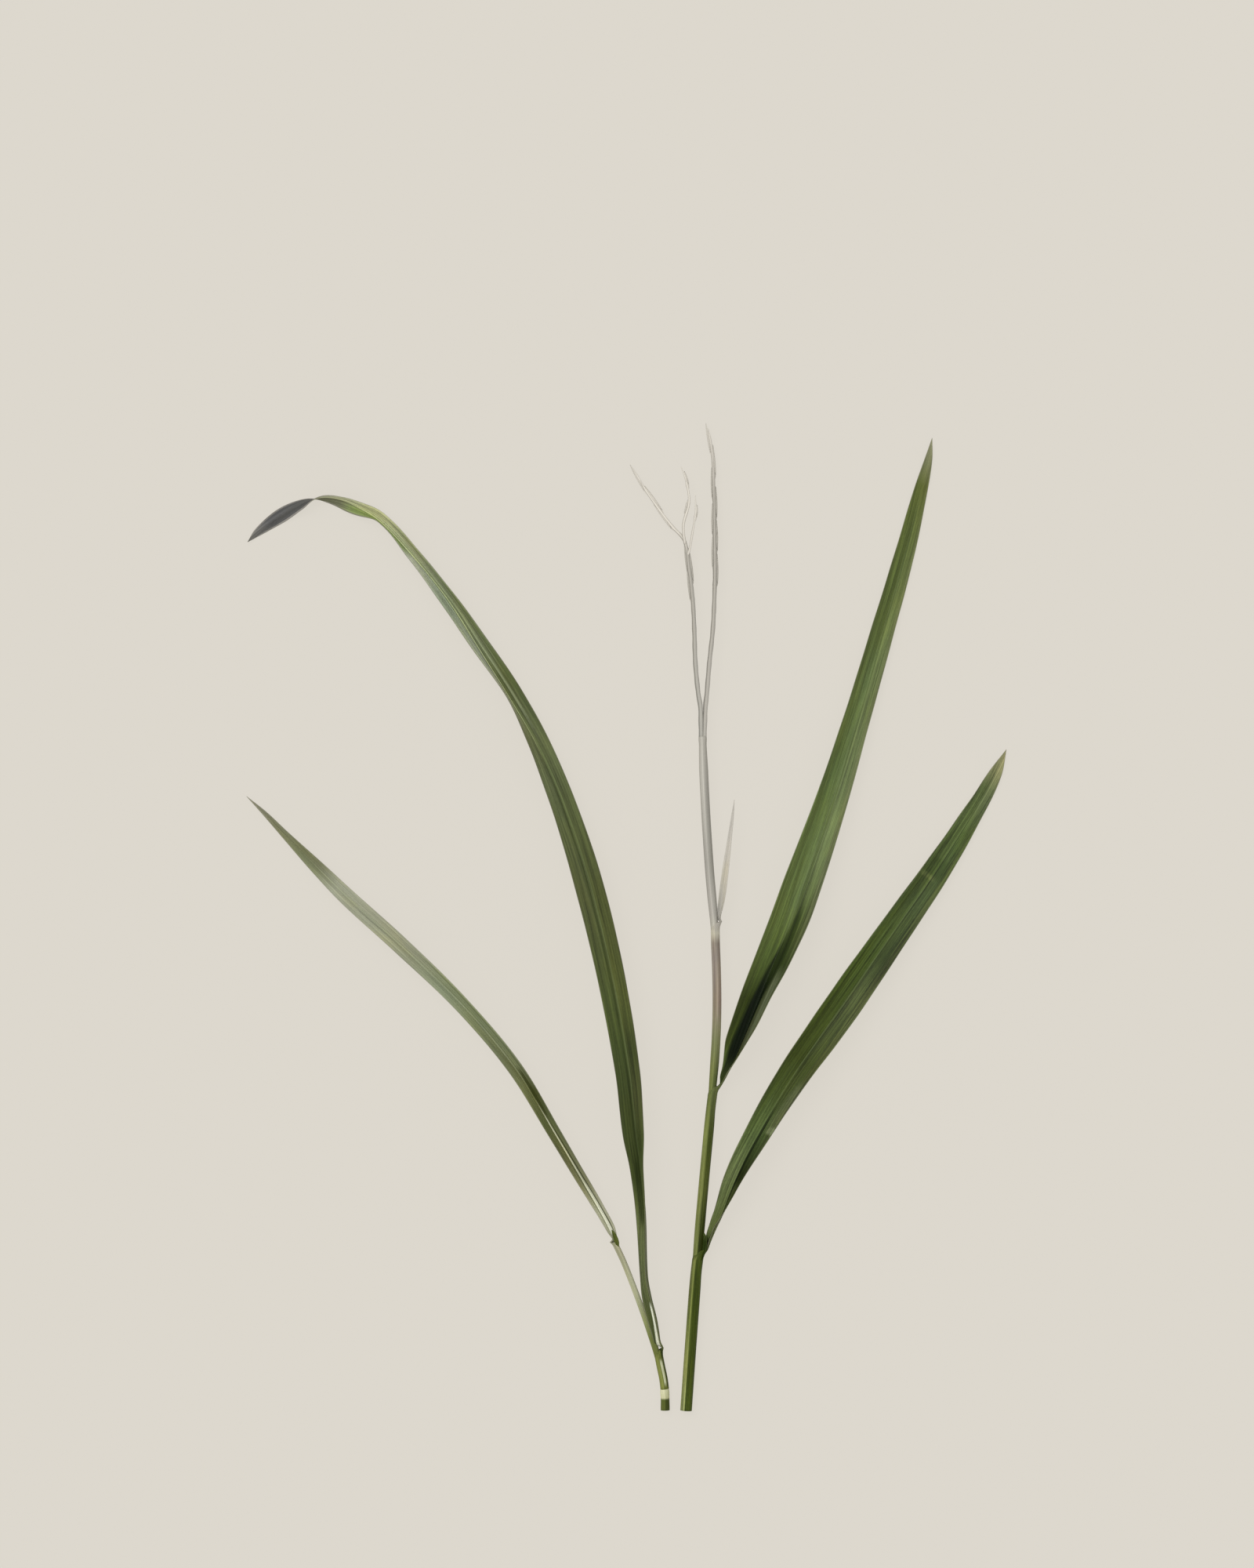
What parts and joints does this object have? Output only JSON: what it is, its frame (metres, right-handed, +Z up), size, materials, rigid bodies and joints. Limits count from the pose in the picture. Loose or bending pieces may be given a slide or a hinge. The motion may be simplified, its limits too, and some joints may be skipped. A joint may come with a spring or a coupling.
{
  "type": "panicum grass",
  "caption": "Cut panicum grass laid flat: leafy shoots with sheathed stems, long folded and arching blades, and a fine forked panicle.",
  "frame": {"origin": "middle of the plant's box, on the surface that it lies on", "axes": "+Z up from the surface, +Y along the plant from its cut ends to its tips, +X towards the broad right-hand leaves"},
  "size_m": [0.2326, 0.3002, 0.013],
  "materials": {
    "culm_green": "smooth fresh grass stem, satin",
    "leaf_dark_green": "ribbed leaf blade, satin",
    "leaf_green": "ribbed leaf blade, satin",
    "leaf_pale_green": "glaucous leaf blade, matte",
    "faded_straw": "dry, pale and matte"
  },
  "bodies": {
    "root": {"left_culm": "culm_green", "right_culm": "culm_green", "arching_leaf": "leaf_dark_green", "lower_right_leaf": "leaf_dark_green", "upper_right_leaf": "leaf_green", "left_leaf": "leaf_pale_green", "flag_leaf": "faded_straw", "panicle_left_branch": "faded_straw", "panicle_upper_twig": "faded_straw", "panicle_side_twig": "faded_straw", "panicle_right_branch": "faded_straw", "spikelet_01": "faded_straw", "spikelet_02": "faded_straw", "spikelet_03": "faded_straw", "spikelet_04": "faded_straw", "spikelet_05": "faded_straw", "spikelet_06": "faded_straw", "spikelet_07": "faded_straw", "spikelet_08": "faded_straw", "spikelet_09": "faded_straw", "spikelet_10": "faded_straw", "spikelet_11": "faded_straw", "spikelet_12": "faded_straw", "spikelet_13": "faded_straw", "spikelet_14": "faded_straw", "spikelet_15": "faded_straw", "spikelet_16": "faded_straw", "spikelet_17": "faded_straw"}
  },
  "joints": []
}
